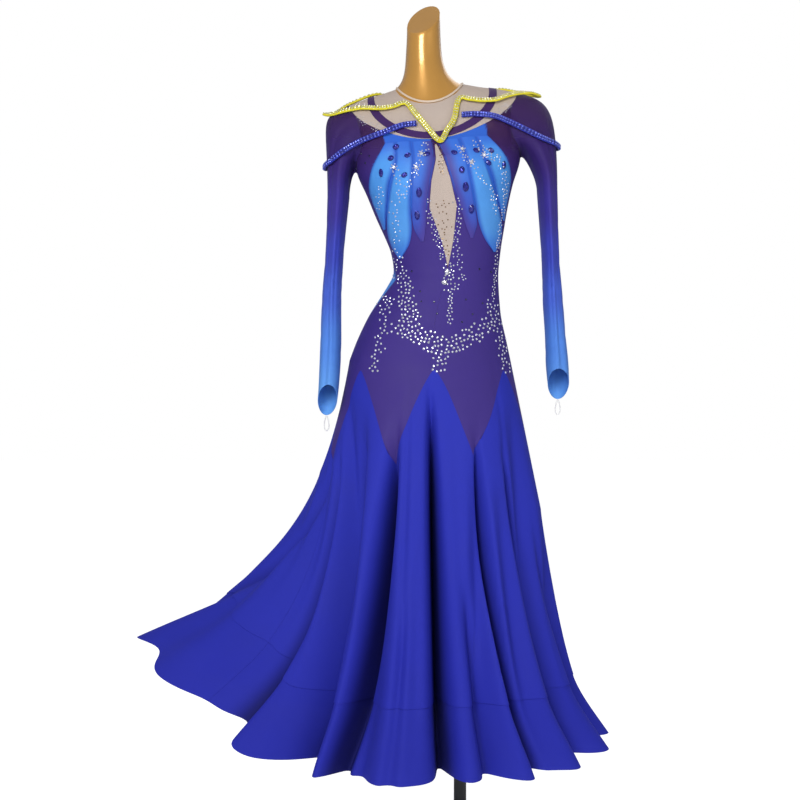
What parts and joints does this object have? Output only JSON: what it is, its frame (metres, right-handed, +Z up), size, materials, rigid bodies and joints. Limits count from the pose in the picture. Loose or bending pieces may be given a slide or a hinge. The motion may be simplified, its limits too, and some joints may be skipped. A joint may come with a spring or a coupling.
{
  "type": "ballroom dance dress on a limbless dress form",
  "caption": "Long ballroom dress with a petalled stretch bodice, shaded sleeves and a swept gored skirt on a headless, armless form with a pole and a round base.",
  "frame": {"origin": "centre of the underside of the stand's round base, on the floor", "axes": "+Z up along the pole, -Y is the way the dress faces, +X is the dress's right as seen from in front"},
  "size_m": [0.9388, 0.8094, 1.6724],
  "materials": {
    "purple_stretch": "soft sheen",
    "nude_mesh": "sheer mesh",
    "white_elastic": "matt",
    "sky_satin": "satin",
    "royal_crepe": "matt crepe",
    "yellow_stones": "closely set stones",
    "blue_stones": "closely set stones",
    "navy_crystal": "faceted",
    "clear_crystal": "faceted, foil backed",
    "gold_shell": "gold coat",
    "dark_metal": "semi gloss"
  },
  "bodies": {
    "root": {"body_back_left": "purple_stretch", "body_back_right": "purple_stretch", "body_front_left": "purple_stretch", "body_front_right": "purple_stretch", "finger_loop_left": "white_elastic", "finger_loop_right": "white_elastic", "form_base": "dark_metal", "form_pole": "dark_metal", "form_torso": "gold_shell", "gore_back": "royal_crepe", "gore_back_left": "royal_crepe", "gore_back_right": "royal_crepe", "gore_front": "royal_crepe", "gore_front_left": "royal_crepe", "gore_front_right": "royal_crepe", "hem_band_back": "royal_crepe", "hem_band_front": "royal_crepe", "keyhole_insert": "nude_mesh", "neck_binding": "white_elastic", "neckline_band": "purple_stretch", "petal_left_inner": "sky_satin", "petal_left_middle": "sky_satin", "petal_left_outer": "sky_satin", "petal_right_inner": "sky_satin", "petal_right_middle": "sky_satin", "petal_right_outer": "sky_satin", "sleeve_left": "purple_stretch", "sleeve_right": "purple_stretch", "stone_centre_drop": "clear_crystal", "stone_centre_oval": "clear_crystal", "stone_left_a": "navy_crystal", "stone_left_b": "navy_crystal", "stone_left_c": "navy_crystal", "stone_left_d": "navy_crystal", "stone_left_e": "navy_crystal", "stone_left_f": "navy_crystal", "stone_left_g": "navy_crystal", "stone_left_h": "navy_crystal", "stone_right_a": "navy_crystal", "stone_right_b": "navy_crystal", "stone_right_c": "navy_crystal", "stone_right_d": "navy_crystal", "stone_right_e": "navy_crystal", "stone_right_f": "navy_crystal", "stone_right_g": "navy_crystal", "stone_right_h": "navy_crystal", "trim_blue": "blue_stones", "trim_yellow": "yellow_stones", "yoke_back": "nude_mesh", "yoke_front": "nude_mesh"}
  },
  "joints": []
}
